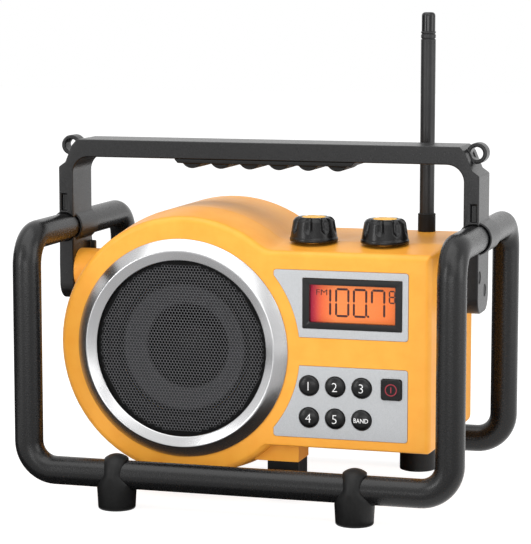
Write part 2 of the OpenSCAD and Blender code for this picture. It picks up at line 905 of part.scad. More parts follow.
module button_board() {
    color(BOARD) slab(board_front, board_front + board_t)
        rounded([button_x - board_edge, button_z - row_pitch - board_edge],
            [power_place[0] + board_edge, button_z + board_edge], 1);
}

module button_switches() {
    color(STEEL) for (p = all_buttons) difference() {
        slab(switch_top, board_front) translate(p - [switch_w / 2, switch_w / 2]) square(switch_w);
        rod_y(p[0], p[1], stem_r + gap, switch_top - 1, stem_end + button_travel + gap);
    }
}

// ---- Knobs and controls ----

cap_r = knob_r - 8.6;
hub_low = 4.6;

module knob(x) {
    inner = knob_r - 2.6;
    flutes = 8;
    color("#242424") translate([x, knob_y, knob_z]) difference() {
        rotate_extrude() polygon([
            [shaft_d / 2 + run_gap, hub_low], [seat_r, hub_low],
            [seat_r, knob_h - 4], [inner - 2, knob_h - 4], [inner, 0],
            [knob_r - 0.4, 0], [knob_r, 0.6], [knob_r, 2], [knob_r - 0.5, 2.6],
            [knob_r - 2.4, knob_h - 2.4], [knob_r - 3.2, knob_h - 0.9], [knob_r - 4.6, knob_h],
            [cap_r + 0.1, knob_h], [cap_r + 0.1, knob_h - 1], [0, knob_h - 1],
            [0, knob_h - 3], [shaft_d / 2 + run_gap, knob_h - 3]
        ]);
        for (k = [0:flutes - 1]) rotate([0, 0, (k + 0.5) * 360 / flutes]) translate([knob_r + 0.5, 0, 8])
            rotate([0, -12, 0]) {
                cylinder(r = 2.6, h = knob_h, $fn = 32);
                sphere(r = 2.6, $fn = 32);
            }
    }
}

module knob_cap(x) {
    color(YELLOW) rod_z(x, knob_y, cap_r, knob_z + knob_h - 1, knob_z + knob_h + 0.2);
}

module shaft(x) {
    color(STEEL) rod_z(x, knob_y, shaft_d / 2, pot_top - 6, knob_z + knob_h - 3.2);
}

module volume_knob() knob(knob_x[0]);
module tuning_knob() knob(knob_x[1]);
module volume_knob_cap() knob_cap(knob_x[0]);
module tuning_knob_cap() knob_cap(knob_x[1]);
module volume_shaft() shaft(knob_x[0]);
module tuning_shaft() shaft(knob_x[1]);

// A threaded bushing over a control's body, bored for its shaft
module control(x) {
    difference() {
        union() {
            children();
            rod_z(x, knob_y, bushing_r, pot_top - bite, knob_z + hub_low - 1);
        }
        rod_z(x, knob_y, shaft_d / 2 + run_gap, pot_top - 6.3, knob_z + hub_low);
    }
}

module volume_pot() {
    x = knob_x[0];
    color(STEEL) control(x) {
        rod_z(x, knob_y, 8.5, pot_top - 9, pot_top);
        block([x - 6, knob_y + 6, pot_top - 8], [x + 6, knob_y + 13, pot_top - 6.5]);
    }
}

module tuning_encoder() {
    x = knob_x[1];
    color(STEEL) control(x) block([x - 7, knob_y - 7, pot_top - 8], [x + 7, knob_y + 7, pot_top]);
}

module control_nuts() {
    color(STEEL) for (x = knob_x) difference() {
        translate([x, knob_y, seat_top]) cylinder(r = seat_r - 0.1, h = 2.2, $fn = 6);
        rod_z(x, knob_y, bushing_r + run_gap, seat_top - 1, seat_top + 4);
    }
}

// ---- Boards inside ----

module main_board() {
    color(BOARD) slab(main_y, main_y + board_t) square_between(main_low, main_high);
}

module square_between(low, high) {
    translate(low) square(high - low);
}

module board_components() {
    size = main_high - main_low;
    can_r = size[0] * 0.05;
    cans = [[0.15, 0.16], [0.31, 0.16], [0.45, 0.16], [0.61, 0.16], [0.15, 0.8]];
    chips = [
        [[0.26, 0.32], [0.57, 0.52]],
        [[0.63, 0.34], [0.87, 0.48]],
        [[0.3, 0.64], [0.74, 0.91]],
        [[0.09, 0.34], [0.17, 0.57]]
    ];
    chip_h = size[0] * 0.035;
    color("#4a4d52") {
        for (c = cans)
            translate([c[0] * size[0], 0, c[1] * size[1]])
                rod_y(main_low[0], main_low[1], can_r, main_y - 2.6 * can_r, main_y);
        for (c = chips) slab(main_y - chip_h, main_y) square_between(
            main_low + [c[0][0] * size[0], c[0][1] * size[1]],
            main_low + [c[1][0] * size[0], c[1][1] * size[1]]
        );
    }
}

module ferrite_rod() {
    color("#3b3b3d") rod_x(rod_y_place, rod_z_place, rod_r, rod_span[0], rod_span[1]);
}

module rod_coil() {
    color("#b5652a") difference() {
        rod_x(rod_y_place, rod_z_place, rod_r + 1.5, coil_span[0], coil_span[1]);
        rod_x(rod_y_place, rod_z_place, rod_r + run_gap, coil_span[0] - 1, coil_span[1] + 1);
    }
}

// ---- Battery ----

cell_rows = [for (s = [-1, 1]) battery_z + s * (cell_d / 2 + 0.7)];
cell_y = rear_in - cell_d / 2 - 0.7;
cell_start = box_low[0] + 4;
contact_t = 0.6;

module battery_box() {
    flange = 4;
    shell = [box_wall, box_wall, box_wall];
    color("#333333") difference() {
        union() {
            block(box_low - shell, box_high + [box_wall, 0, box_wall]);
            block([box_low[0] - box_wall - flange, rear_in - 2, box_low[2] - box_wall - flange],
                [box_high[0] + box_wall + flange, rear_in, box_high[2] + box_wall]);
        }
        block(box_low, box_high + [0, 1, 0]);
    }
}

module battery_cells() {
    color("#c9a24a") for (z = cell_rows, k = [0, 1]) {
        x = cell_start + k * cell_l;
        rod_x(cell_y, z, cell_d / 2, x, x + cell_l - 1.5);
        rod_x(cell_y, z, 4, x + cell_l - 1.6, x + cell_l - 0.1);
    }
}

module battery_contacts() {
    color(STEEL) for (z = cell_rows) {
        block([box_low[0], cell_y - 8, z - 8], [box_low[0] + contact_t, cell_y + 8, z + 8]);
        rod_x(cell_y, z, 5, box_low[0] + contact_t - 0.1, cell_start - 0.1);
        block([box_high[0] - contact_t, cell_y - 8, z - 8], [box_high[0], cell_y + 8, z + 8]);
        rod_x(cell_y, z, 4, cell_start + 2 * cell_l, box_high[0] - contact_t + 0.1);
    }
}

module battery_door() {
    color(YELLOW) difference() {
        union() {
            slab(body_rear - door_t, body_rear)
                rounded([door_x[0], door_z[0]], [door_x[1], door_z[1]], 2.6);
            for (x = knuckle_x) {
                block([x, body_rear + gap, hinge_z], [x + knuckle_w, hinge_y, hinge_z + 4]);
                block(
                    [x, body_rear - bite, door_z[0] + 0.2],
                    [x + knuckle_w, body_rear + 1.5, hinge_z + 4]
                );
                rod_x(hinge_y, hinge_z, hinge_r, x, x + knuckle_w);
                rod_x(hinge_y, hinge_z, pin_r, x - gap - 2.8, x + knuckle_w + gap + 2.8);
            }
        }
        rod_y(latch_x, latch_z, latch_r + run_gap, body_rear - door_t - 1, body_rear + 1);
    }
}

module door_latch() {
    reach = 11.5;
    color(BLACK) difference() {
        union() {
            rod_y(latch_x, latch_z, latch_r, rear_in - 2.4, body_rear + 1);
            rod_y(latch_x, latch_z, 7, body_rear + gap, body_rear + gap + 2.5);
            block([latch_x, rear_in - 2.4, latch_z - 2.5], [latch_x + reach, rear_in - 0.4, latch_z + 2.5]);
        }
        block([latch_x - 8, body_rear + 1.6, latch_z - 1], [latch_x + 8, body_rear + 4, latch_z + 1]);
    }
}

// ---- DC inlet ----

module dc_jack() {
    color("#222222") {
        difference() {
            union() {
                block(
                    [inlet_x - 4.5, rear_in - 11.3, inlet_z - 5.5],
                    [inlet_x + 4.5, rear_in, inlet_z + 5.5]
                );
                rod_y(inlet_x, inlet_z, inlet_r, rear_in - bite, body_rear - 0.3);
            }
            rod_y(inlet_x, inlet_z, inlet_bore, rear_in - 7, body_rear + 1);
        }
        rod_y(inlet_x, inlet_z, inlet_pin, rear_in - 7 - bite, body_rear - 1.5);
    }
}

module jack_cover() {
    face = body_rear + gap;
    color(BLACK) {
        rod_y(inlet_x, inlet_z, flap_r, face, face + 2);
        block([inlet_x - 3, face, inlet_z - flap_r - 3], [inlet_x + 3, face + 2, inlet_z]);
        block([inlet_x - 3, flap_y - flap_barrel, inlet_z + flap_r - 2], [inlet_x + 3, face + 2, flap_z]);
        rod_x(flap_y, flap_z, flap_barrel, inlet_x - 3, inlet_x + 3);
        rod_x(flap_y, flap_z, flap_pin, inlet_x - 6, inlet_x + 6);
    }
}

// ---- Antenna ----

sleeve_low = block_top + 0.1;
mast_low = sleeve_low + 5.9;
tip_l = 13.6;
tip_low = antenna_top - tip_l;

module antenna_socket() {
    color(BLACK) {
        rod_z(antenna_x, antenna_y, 7, block_top - wall - 8, block_top - wall);
        rod_z(antenna_x, antenna_y, antenna_neck_r, block_top - wall - bite, sleeve_low);
    }
}

module antenna_sleeve() {
    color(BLACK) difference() {
        rod_z(antenna_x, antenna_y, sleeve_d / 2, sleeve_low, sleeve_low + sleeve_h);
        rod_z(antenna_x, antenna_y, mast_d / 2 + run_gap, mast_low - 0.2, sleeve_low + sleeve_h + 1);
    }
}

module antenna_mast() {
    r = mast_d / 2;
    color("#252525") translate([antenna_x, antenna_y, 0]) rotate_extrude() polygon([
        [0, mast_low], [r, mast_low], [r, tip_low - 5.8], [r - 0.5, tip_low - 5.5], [r - 0.5, tip_low - 5],
        [r, tip_low - 4.7], [r, tip_low - 2.4], [r - 0.5, tip_low - 2.1], [r - 0.5, tip_low - 1.6],
        [r, tip_low - 1.3], [r, tip_low - 0.3], [r - 0.3, tip_low], [0, tip_low]
    ]);
}

module antenna_tip() {
    r = mast_d / 2 - 0.4;
    color("#151515") translate([antenna_x, antenna_y, 0]) rotate_extrude() polygon(concat(
        [[0, tip_low], [r, tip_low]],
        [for (t = [0:15:90]) [r - 2.5 + 2.5 * cos(t), antenna_top - 2.5 + 2.5 * sin(t)]],
        [[0, antenna_top]]
    ));
}

cage_front();
cage_rear();
cage_plugs();
cage_feet();
front_shell();
rear_shell();
body_feet();
handle();
handle_grip();
handle_screws();
case_screws();
speaker_bezel();
speaker_grille();
speaker_basket();
speaker_magnet();
speaker_yoke();
speaker_cone();
cone_surround();
cone_spider();
dust_cap();
voice_coil();
display_panel();
button_panel();
display_bezel();
display_window();
lcd_module();
preset_button_1();
preset_button_2();
preset_button_3();
preset_button_4();
preset_button_5();
band_button();
power_button();
button_board();
button_switches();
volume_knob();
volume_knob_cap();
volume_shaft();
volume_pot();
tuning_knob();
tuning_knob_cap();
tuning_shaft();
tuning_encoder();
control_nuts();
main_board();
board_components();
ferrite_rod();
rod_coil();
battery_box();
battery_cells();
battery_contacts();
battery_door();
door_latch();
dc_jack();
jack_cover();
antenna_socket();
antenna_sleeve();
antenna_mast();
antenna_tip();
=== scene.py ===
import json
import math

import bmesh
import bpy
import numpy as np
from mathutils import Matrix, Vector

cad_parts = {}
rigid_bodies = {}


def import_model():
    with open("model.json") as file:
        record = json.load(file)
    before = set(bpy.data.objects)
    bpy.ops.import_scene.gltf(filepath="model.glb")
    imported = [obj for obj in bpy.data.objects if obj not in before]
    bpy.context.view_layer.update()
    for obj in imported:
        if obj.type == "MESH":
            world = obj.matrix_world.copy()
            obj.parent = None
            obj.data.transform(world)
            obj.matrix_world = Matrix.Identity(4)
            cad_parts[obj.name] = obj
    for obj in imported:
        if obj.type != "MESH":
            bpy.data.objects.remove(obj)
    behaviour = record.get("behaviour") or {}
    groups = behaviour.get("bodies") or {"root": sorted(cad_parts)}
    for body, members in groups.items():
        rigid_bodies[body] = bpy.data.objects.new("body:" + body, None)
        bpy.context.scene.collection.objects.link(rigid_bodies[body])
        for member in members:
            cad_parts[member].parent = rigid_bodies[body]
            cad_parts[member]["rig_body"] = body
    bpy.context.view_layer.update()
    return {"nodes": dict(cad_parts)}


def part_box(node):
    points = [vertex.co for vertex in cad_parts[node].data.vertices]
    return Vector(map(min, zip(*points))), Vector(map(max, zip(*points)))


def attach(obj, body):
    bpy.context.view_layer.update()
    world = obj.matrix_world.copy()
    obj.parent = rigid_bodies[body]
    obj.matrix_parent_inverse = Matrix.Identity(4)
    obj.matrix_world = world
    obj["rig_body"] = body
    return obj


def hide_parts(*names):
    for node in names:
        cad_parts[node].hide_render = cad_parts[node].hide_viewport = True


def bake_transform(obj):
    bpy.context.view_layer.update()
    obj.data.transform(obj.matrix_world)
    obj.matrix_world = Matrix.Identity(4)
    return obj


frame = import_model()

MM = 0.001
ROOT = "radio"


# ---- Places and sizes in millimetres, from the frame where it has them ----

def corners(node):
    """The lowest and the highest corner of a node."""
    return [[round(v / MM, 3) for v in corner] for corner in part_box(node)]


def middle(node):
    """The middle of a node's box."""
    low, high = corners(node)
    return [(a + b) / 2 for a, b in zip(low, high)]


# The cage's tube and its feet
TUBE_R, TUBE_WALL, BEND_R, TUBE_SIDES = 9.9, 1.6, 20, 40
CAGE_LOW, CAGE_HIGH = corners("cage_front")
SIDE_X, END_Y, OPEN_Y = CAGE_HIGH[0] - TUBE_R, -CAGE_LOW[1] - TUBE_R, CAGE_HIGH[1]
RAIL_LOW, RAIL_HIGH = CAGE_LOW[2] + TUBE_R, CAGE_HIGH[2] - TUBE_R
FOOT_X, FOOT_R = 85, 14.2

# The speaker: the front face, the axis in X and Z, and the opening of the bezel
FACE_Y = corners("front_shell")[0][1]
SPEAKER = (middle("speaker_cone")[0], middle("speaker_cone")[2])
GRILLE_R = corners("speaker_grille")[1][0] - SPEAKER[0]

# The display: the opening of its bezel, with the gap round the window, and the face of the LCD
WINDOW_GAP = 0.05
WINDOW_LOW, WINDOW_HIGH = corners("display_window")
WINDOW_LEFT, WINDOW_FOOT = WINDOW_LOW[0] - WINDOW_GAP, WINDOW_LOW[2] - WINDOW_GAP
WINDOW_W = WINDOW_HIGH[0] - WINDOW_LOW[0] + 2 * WINDOW_GAP
LCD_Y = corners("lcd_module")[0][1]

# What is printed on each round button, by body
LEGENDS = {"preset_%d" % number: str(number) for number in range(1, 6)}
LEGENDS["band"] = "BAND"
BUTTON_R, CREST_Y = 7, corners("band_button")[0][1]

# The power button's middle and its face
POWER_X, _, POWER_Z = middle("power_button")
POWER_Y = corners("power_button")[0][1]

# The knobs, which stand on KNOB_Z, and the antenna's axis with the foot of its sleeve
KNOB_R = corners("volume_knob")[1][0] - middle("volume_knob_cap")[0]
KNOB_Z = corners("volume_knob")[0][2]
KNOB_H = corners("volume_knob")[1][2] - KNOB_Z
ANTENNA = middle("antenna_mast")[:2]
SLEEVE_Z = corners("antenna_sleeve")[0][2]

# Print and LCD ink stand out by this much, and points on an axis stay this far from it
INK, HAIR = 0.08, 0.01


# ---- Materials ----

RIPPLE_SCALE, RIPPLE_HEIGHT, GRAIN_HEIGHT = 45, 0.002, 0.0004


def colour(code):
    """A #rrggbb code as linear RGBA."""
    parts = [int(code[i:i + 2], 16) / 255 for i in (1, 3, 5)]
    return [p / 12.92 if p <= 0.04045 else ((p + 0.055) / 1.055) ** 2.4 for p in parts] + [1]


class Nodes:
    """A short way to write a material's node tree."""

    def __init__(self, name):
        self.material = bpy.data.materials.new(name)
        self.material.use_nodes = True
        self.tree = self.material.node_tree
        self.shader = self.tree.nodes["Principled BSDF"]
        self.place = self.add("ShaderNodeTexCoord").outputs["Object"]

    def add(self, kind, **settings):
        node = self.tree.nodes.new(kind)
        for key, value in settings.items():
            setattr(node, key, value)
        return node

    def link(self, output, to):
        self.tree.links.new(output, to)

    def noise(self, scale, detail=2.0, rough=0.5):
        node = self.add("ShaderNodeTexNoise")
        node.inputs["Scale"].default_value = scale
        node.inputs["Detail"].default_value = detail
        node.inputs["Roughness"].default_value = rough
        self.link(self.place, node.inputs["Vector"])
        return node.outputs["Fac"]

    def ramp(self, value, stops):
        node = self.add("ShaderNodeValToRGB")
        ramp = node.color_ramp
        while len(ramp.elements) < len(stops):
            ramp.elements.new(0.5)
        for element, (at, tint) in zip(ramp.elements, stops):
            element.position = at
            element.color = tint
        self.link(value, node.inputs["Fac"])
        return node.outputs["Color"]

    def between(self, value, dark, light):
        """A colour that follows a noise from dark to light."""
        return self.ramp(value, [(0.3, colour(dark)), (0.7, colour(light))])

    def spread(self, value, low, high, start=0.3, end=0.7):
        node = self.add("ShaderNodeMapRange")
        for key, number in (("From Min", start), ("From Max", end), ("To Min", low), ("To Max", high)):
            node.inputs[key].default_value = number
        self.link(value, node.inputs["Value"])
        return node.outputs["Result"]

    def bump(self, height, strength, distance, under=None):
        node = self.add("ShaderNodeBump")
        node.inputs["Strength"].default_value = strength
        node.inputs["Distance"].default_value = distance
        self.link(height, node.inputs["Height"])
        if under:
            self.link(under, node.inputs["Normal"])
        return node.outputs["Normal"]

    def surface(self, shade, rough, normal):
        """Feeds the shader's colour, roughness and normal, and returns the material."""
        for output, name in ((shade, "Base Color"), (rough, "Roughness"), (normal, "Normal")):
            self.link(output, self.shader.inputs[name])
        return self.material


def seen_by(tree):
    """1 for the rays that show the background: from the camera, in a gloss or through glass."""
    path = tree.nodes.new("ShaderNodeLightPath")
    found = path.outputs["Is Camera Ray"]
    for kind in ("Is Glossy Ray", "Is Transmission Ray"):
        either = tree.nodes.new("ShaderNodeMath")
        either.operation = "MAXIMUM"
        tree.links.new(found, either.inputs[0])
        tree.links.new(path.outputs[kind], either.inputs[1])
        found = either.outputs["Value"]
    return found


def finish(name, dark, light, rough, metallic=0.0, speckle=90, grain=1100, depth=0.1, ripple=0.05,
           specular=0.5, alpha=1.0):
    """A moulded, painted or plated surface.

    Its colour and its roughness drift, and it has a grain over a slow ripple.
    """
    m = Nodes(name)
    for key, number in (("Metallic", metallic), ("Specular IOR Level", specular), ("Alpha", alpha)):
        m.shader.inputs[key].default_value = number
    slow = m.bump(m.noise(RIPPLE_SCALE, 2), ripple, RIPPLE_HEIGHT)
    return m.surface(m.between(m.noise(speckle, 4, 0.6), dark, light),
                     m.spread(m.noise(speckle * 0.4, 3), *rough),
                     m.bump(m.noise(grain, 3, 0.6), depth, GRAIN_HEIGHT, slow))


def silver_paint():
    """Painted silver with a fine sparkle."""
    m = Nodes("silver_panel")
    m.shader.inputs["Metallic"].default_value = 0.35
    return m.surface(m.between(m.noise(1800, 2, 0.5), "#aeb0b2", "#bcbec0"),
                     m.spread(m.noise(60, 3), 0.4, 0.5),
                     m.bump(m.noise(2600, 2), 0.08, 0.0002))


def lcd_glow():
    """The lit field of the display: orange, turning red at its left end, where the red is painted shade
    from the frame.
    """
    m = Nodes("lcd_field")
    split = m.add("ShaderNodeSeparateXYZ")
    m.link(m.place, split.inputs["Vector"])
    along = m.spread(split.outputs["X"], 0, 1, WINDOW_LEFT * MM, (WINDOW_LEFT + WINDOW_W) * MM)
    # Painted shade: the field darkens to red towards its left end, where the frame shades it.
    shade = m.ramp(along, [(0.0, colour("#a8123c")), (0.05, colour("#c02a34")), (0.13, colour("#dd5c2c")),
                           (0.3, colour("#ee8240")), (0.75, colour("#ea7a34")), (1.0, colour("#e06a24"))])
    m.link(shade, m.shader.inputs["Emission Color"])
    m.shader.inputs["Emission Strength"].default_value = 0.33
    return m.surface(shade, m.spread(m.noise(300), 0.35, 0.5), m.bump(m.noise(2500), 0.05, 0.0001))


def cone_look():
    """Black paper with a grey ring between two radii, seen through the grille."""
    ring, blend, reach = (31, 43), 2, 50
    m = Nodes("cone_front")
    flat = m.add("ShaderNodeVectorMath", operation="MULTIPLY")
    flat.inputs[1].default_value = (1, 0, 1)
    m.link(m.place, flat.inputs[0])
    far = m.add("ShaderNodeVectorMath", operation="DISTANCE")
    far.inputs[1].default_value = (SPEAKER[0] * MM, 0, SPEAKER[1] * MM)
    m.link(flat.outputs["Vector"], far.inputs[0])
    along = m.spread(far.outputs["Value"], 0, 1, 0, reach * MM)
    dark, light = colour("#070707"), colour("#444446")
    shade = m.ramp(along, [((ring[0] - blend) / reach, dark), (ring[0] / reach, light),
                           (ring[1] / reach, light), ((ring[1] + blend) / reach, dark)])
    m.shader.inputs["Specular IOR Level"].default_value = 0.1
    return m.surface(shade, m.spread(m.noise(900, 3), 0.6, 0.75),
                     m.bump(m.noise(1200, 3), 0.3, GRAIN_HEIGHT))


# Each name with its darker and lighter colour, its least and most roughness, and the other settings
MOULDED = {
    "yellow_plastic": ("#f2a234", "#f6ac3e", (0.36, 0.46),
                       dict(speckle=60, grain=1500, depth=0.08, ripple=0.01, specular=0.35)),
    "disc_yellow": ("#fcb836", "#fec545", (0.4, 0.5),
                    dict(speckle=60, grain=1500, depth=0.08, ripple=0.01, specular=0.3)),
    # Cage paint and handle plastic: their fine colour speckle is painted glints of the grain, over the real
    # bump.
    "cage_paint": ("#050505", "#161617", (0.24, 0.3),
                   dict(speckle=1500, depth=0.26, ripple=0.01, specular=0.36)),
    "handle_plastic": ("#070708", "#19191a", (0.27, 0.34),
                       dict(speckle=1500, depth=0.26, ripple=0.01, specular=0.36)),
    "black_plastic": ("#131314", "#1e1e1f", (0.34, 0.44), dict(grain=1500, depth=0.2, specular=0.4)),
    "gloss_black": ("#070708", "#0e0e0f", (0.1, 0.18),
                    dict(speckle=60, grain=700, depth=0.04, specular=0.4)),
    "knob_plastic": ("#080809", "#111112", (0.22, 0.3), dict(grain=1500, depth=0.12, specular=0.3)),
    "rubber": ("#070707", "#0f0f0f", (0.42, 0.52), dict(speckle=500, grain=1200, depth=0.3, specular=0.25)),
    "dark_screw": ("#1d1d1f", "#29292b", (0.35, 0.5), dict(metallic=0.6, grain=1500)),
    "chrome": ("#bcbcbd", "#c3c3c4", (0.24, 0.26),
               dict(metallic=1.0, speckle=20, grain=2500, depth=0.003, ripple=0.0)),
    # Grille cells: a grey that is painted sheen, the glints of the lit metal between the holes, on a black
    # sheet.
    "grille_mesh": ("#525254", "#626264", (0.36, 0.46), dict(speckle=700, ripple=0.0, specular=0.1)),
    "grille_rim": ("#060606", "#0c0c0d", (0.45, 0.55), dict(speckle=700, ripple=0.0, specular=0.08)),
    "steel": ("#8f9295", "#a8abae", (0.28, 0.4), dict(metallic=0.9, depth=0.06)),
    "ferrite": ("#333335", "#434346", (0.5, 0.65), dict(speckle=400, depth=0.3)),
    "spider_cloth": ("#4f3c1c", "#5f4922", (0.75, 0.9), dict(speckle=1500, grain=1800, depth=0.6)),
    "copper": ("#a5592a", "#c26f38", (0.25, 0.38), dict(metallic=0.9, grain=2500, depth=0.3)),
    "circuit_board": ("#175a30", "#206c3b", (0.3, 0.42), dict(speckle=250, grain=600, depth=0.12)),
    "chips": ("#2f3134", "#4a4d52", (0.35, 0.5), dict(speckle=200, depth=0.15)),
    "cell_jacket": ("#b8923f", "#cfa650", (0.25, 0.36), dict(metallic=0.4, speckle=60, depth=0.05)),
    "clear_window": ("#1a1c1e", "#222426", (0.04, 0.08),
                     dict(depth=0.01, ripple=0.01, specular=0.3, alpha=0.05)),
    "white_print": ("#ececec", "#f7f7f7", (0.45, 0.6), dict(speckle=700)),
    "red_print": ("#861827", "#9c2032", (0.4, 0.55), dict(speckle=700)),
    "lcd_ink": ("#3a0d06", "#451209", (0.4, 0.5), dict(speckle=700, depth=0.05)),
    "basket_paint": ("#060606", "#0d0d0e", (0.5, 0.6), dict(speckle=400, depth=0.2, specular=0.15)),
    # Cards seen only in gloss: painted reflections, and under the radio a painted shadow.
    "card_pale": ("#c6c6c7", "#cecece", (0.8, 0.9), dict(speckle=3, grain=20, specular=0.0)),
    "card_grey": ("#3a3a3b", "#464647", (0.8, 0.9), dict(speckle=3, grain=20, specular=0.0)),
}
LOOKS = {}
for name, (dark, light, rough, more) in MOULDED.items():
    LOOKS[name] = finish(name, dark, light, rough, **more)
LOOKS["silver_panel"] = silver_paint()
LOOKS["lcd_field"] = lcd_glow()
LOOKS["cone_front"] = cone_look()


# ---- Helpers ----

def to_object(name, verts, faces, look, body=ROOT, sharp=35, hidden=(), slot=None):
    """A piece from points in millimetres. It rides on a body and stands for the hidden nodes."""
    mesh = bpy.data.meshes.new(name)
    mesh.from_pydata([Vector(v) * MM for v in verts], [], faces)
    return settle(name, mesh, look, body, sharp, hidden)


def settle(name, mesh, look, body, sharp, hidden):
    """Shades a mesh by angle, gives it a material and a body, and hides the nodes that it stands for."""
    mesh.validate()
    mesh.shade_smooth()
    mesh.set_sharp_from_angle(angle=math.radians(sharp))
    obj = bpy.data.objects.new(name, mesh)
    bpy.context.scene.collection.objects.link(obj)
    mesh.materials.append(LOOKS[look])
    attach(obj, body)
    if hidden:
        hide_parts(*hidden)
    return obj


def smooth(t):
    """An S-shaped step from 0 to 1."""
    t = min(max(t, 0), 1)
    return t * t * (3 - 2 * t)


def joined(parts):
    """Several (points, faces) as one."""
    verts, faces = [], []
    for v, f in parts:
        faces += [[i + len(verts) for i in face] for face in f]
        verts += list(v)
    return verts, faces


def ring_faces(rings, around=True):
    """Points and quads through rings of points. Around, the last ring joins the first."""
    n = len(rings[0])
    verts = [p for ring in rings for p in ring]
    faces = []
    for i in range(len(rings) if around else len(rings) - 1):
        a, b = i * n, (i + 1) % len(rings) * n
        faces += [[a + j, a + (j + 1) % n, b + (j + 1) % n, b + j] for j in range(n)]
    return verts, faces


def turned(profile, centre, axis="Y", steps=128):
    """A closed profile of (radius, place along the axis), turned about the axis through centre."""
    rings = []
    for r, h in profile:
        r = max(r, HAIR)
        ring = []
        for k in range(steps):
            a = 2 * math.pi * k / steps
            u, v = centre[0] + r * math.cos(a), centre[1] + r * math.sin(a)
            ring.append((u, h, v) if axis == "Y" else (u, v, h))
        rings.append(ring)
    return ring_faces(rings)


def round_profile(profile, radius, steps):
    """The same closed profile with its corners rounded, over at most 0.45 of each side."""
    points = [Vector(p) for p in profile]
    out = []
    for i, p in enumerate(points):
        a, b = points[i - 1] - p, points[(i + 1) % len(points)] - p
        r = min(radius, a.length * 0.45, b.length * 0.45)
        start, end = p + a.normalized() * r, p + b.normalized() * r
        for k in range(steps + 1):
            t = k / steps
            out.append(tuple(start * (1 - t) ** 2 + p * 2 * t * (1 - t) + end * t ** 2))
    return out


def swept(path, radius):
    """Rings of points round a path, turning with it and not about it."""
    rings = []
    side = None
    for i, p in enumerate(path):
        along = (path[min(i + 1, len(path) - 1)] - path[max(i - 1, 0)]).normalized()
        if side is None:
            side = along.orthogonal().normalized()
        side = (side - along * side.dot(along)).normalized()
        up = along.cross(side)
        rings.append([tuple(p + (side * math.cos(a) + up * math.sin(a)) * radius)
                      for a in (2 * math.pi * k / TUBE_SIDES for k in range(TUBE_SIDES))])
    return rings


def outward(obj):
    """Turns every face of a closed piece outward."""
    bm = bmesh.new()
    bm.from_mesh(obj.data)
    bmesh.ops.recalc_face_normals(bm, faces=bm.faces)
    bm.to_mesh(obj.data)
    bm.free()
    return obj


def dressed(node, look, bevel, steps=2, angle=32, weld=0.002):
    """A CAD node's shape with its edges rounded, in the node's place."""
    source = frame["nodes"][node]
    name = node + "_skin"
    mesh = bpy.data.meshes.new(name)
    mesh.from_pydata([v.co.copy() for v in source.data.vertices], [],
                     [list(p.vertices) for p in source.data.polygons])
    bm = bmesh.new()
    bm.from_mesh(mesh)
    bmesh.ops.remove_doubles(bm, verts=bm.verts, dist=weld * MM)
    edges = [e for e in bm.edges if e.is_manifold and e.calc_face_angle(0) > math.radians(angle)]
    bmesh.ops.bevel(bm, geom=edges, offset=bevel * MM, offset_type="OFFSET", segments=steps, profile=0.5,
                    affect="EDGES", clamp_overlap=False)
    bm.to_mesh(mesh)
    bm.free()
    obj = settle(name, mesh, look, source["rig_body"], sharp=38, hidden=[node])
    normals = obj.modifiers.new("flat_faces", "WEIGHTED_NORMAL")
    normals.keep_sharp = True
    return obj


# ---- Cage ----

def corner(centre, a, b, steps=14):
    """Points of a quarter bend about centre, from direction a to direction b."""
    a, b, centre = Vector(a) * BEND_R, Vector(b) * BEND_R, Vector(centre)
    return [centre + a * math.cos(t) + b * math.sin(t)
            for t in (math.pi / 2 * k / steps for k in range(steps + 1))]


def straight(a, b, steps):
    """Points between two ends, without the ends."""
    a, b = Vector(a), Vector(b)
    return [a.lerp(b, k / steps) for k in range(1, steps)]


def cage_half(name, turn):
    """Half of the cage as one hollow tube. A turn of -1 makes the rear half."""
    high, low = RAIL_HIGH - BEND_R, RAIL_LOW + BEND_R
    front = -END_Y + BEND_R
    left = [Vector((-SIDE_X, OPEN_Y, RAIL_HIGH))]
    left += straight((-SIDE_X, OPEN_Y, RAIL_HIGH), (-SIDE_X, front, RAIL_HIGH), 4)
    left += corner((-SIDE_X, front, high), (0, 0, 1), (0, -1, 0))
    left += straight((-SIDE_X, -END_Y, high), (-SIDE_X, -END_Y, low), 6)
    left += corner((-SIDE_X + BEND_R, -END_Y, low), (-1, 0, 0), (0, 0, -1))
    path = left + [Vector((-p.x, p.y, p.z)) for p in reversed(left)]
    path = [Vector((p.x * turn, p.y * turn, p.z)) for p in path]
    outer, outer_faces = ring_faces(swept(path, TUBE_R), around=False)
    inner, inner_faces = ring_faces(swept(path, TUBE_R - TUBE_WALL), around=False)
    verts, faces = joined([(outer, outer_faces), (inner, [list(reversed(f)) for f in inner_faces])])
    count = len(outer)
    for base in (0, count - TUBE_SIDES):
        for j in range(TUBE_SIDES):
            k = (j + 1) % TUBE_SIDES
            faces.append([base + j, base + k, base + k + count, base + j + count])
    return outward(to_object(name + "_tube", verts, faces, "cage_paint", hidden=[name], slot="cage_paint"))


def strap(feet, half_width=8.3, start=17, rise=9, dome_start=22, dome_r=16.5):
    """Narrows the domed tops of the cage's feet, above a start, to a strap over the rail."""
    for v in feet.data.vertices:
        z = v.co.z / MM
        foot = FOOT_X * MM * (1 if v.co.x > 0 else -1)
        half = FOOT_R - (FOOT_R - half_width) * smooth((z - start) / rise)
        dome = FOOT_R * math.sqrt(max(1 - max(z - dome_start, 0) ** 2 / dome_r ** 2, 0.01))
        v.co.x = foot + (v.co.x - foot) * min(1, half / dome)


cage_half("cage_front", 1)
cage_half("cage_rear", -1)
strap(dressed("cage_feet", "rubber", 0.5))

# ---- Body ----

